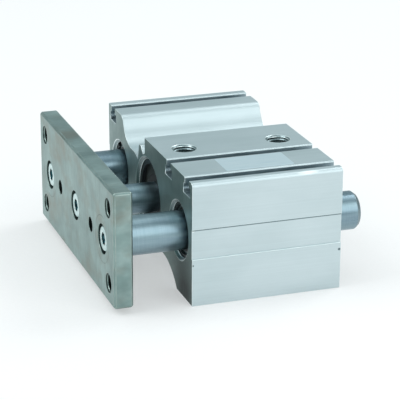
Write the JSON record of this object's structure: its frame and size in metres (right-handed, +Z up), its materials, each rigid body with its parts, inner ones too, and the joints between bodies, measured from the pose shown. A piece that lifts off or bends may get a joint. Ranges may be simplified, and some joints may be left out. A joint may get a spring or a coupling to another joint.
{
  "type": "guided pneumatic cylinder",
  "caption": "Compact air cylinder in a wide extruded barrel, with a piston rod between parallel guide rods that carry a rectangular mounting plate.",
  "frame": {"origin": "centre of the four threaded holes in the barrel's underside, in the plane of the feet", "axes": "-X points along the rods to the mounting plate, which moves that way as the rod extends; +Y runs across the guide rods; +Z up from the feet to the ports"},
  "size_m": [0.1345, 0.144, 0.064],
  "materials": {
    "anodised_barrel": "extruded, clear satin anodised",
    "machined_aluminium": "turned",
    "ground_steel": "ground, thin chemical nickel plate",
    "chromed_steel": "hard chromed and ground",
    "zinc_steel": "bright zinc plate",
    "spring_steel": "phosphated",
    "bronze": "sintered, oil filled",
    "black_rubber": "moulded nitrile",
    "bumper_rubber": "cast urethane",
    "wear_plastic": "filled resin strip",
    "magnet": "bonded magnet"
  },
  "bodies": {
    "cylinder": {"barrel_body": "anodised_barrel", "rod_cover": "machined_aluminium", "rod_bush": "bronze", "rod_seal": "black_rubber", "rod_cover_o_ring": "black_rubber", "front_snap_ring": "spring_steel", "head_cover": "machined_aluminium", "head_cover_o_ring": "black_rubber", "rear_snap_ring": "spring_steel", "front_bushing_left": "bronze", "rear_bushing_left": "bronze", "guide_wiper_left": "black_rubber", "guide_ring_front_left": "spring_steel", "guide_ring_rear_left": "spring_steel", "front_bushing_right": "bronze", "rear_bushing_right": "bronze", "guide_wiper_right": "black_rubber", "guide_ring_front_right": "spring_steel", "guide_ring_rear_right": "spring_steel"},
    "carriage": {"mounting_plate": "ground_steel", "guide_rod_left": "chromed_steel", "guide_rod_right": "chromed_steel", "piston_rod": "chromed_steel", "plate_screws": "zinc_steel", "piston": "machined_aluminium", "piston_seal": "black_rubber", "wear_ring": "wear_plastic", "magnet_ring": "magnet", "front_bumper": "bumper_rubber", "rear_bumper": "bumper_rubber", "piston_o_ring": "black_rubber", "piston_nut": "zinc_steel"}
  },
  "joints": [
    {"name": "piston_stroke", "type": "slide", "parent": "cylinder", "child": "carriage", "axis": [-1, 0, 0], "range_m": [-0.0175, 0.0125]}
  ]
}
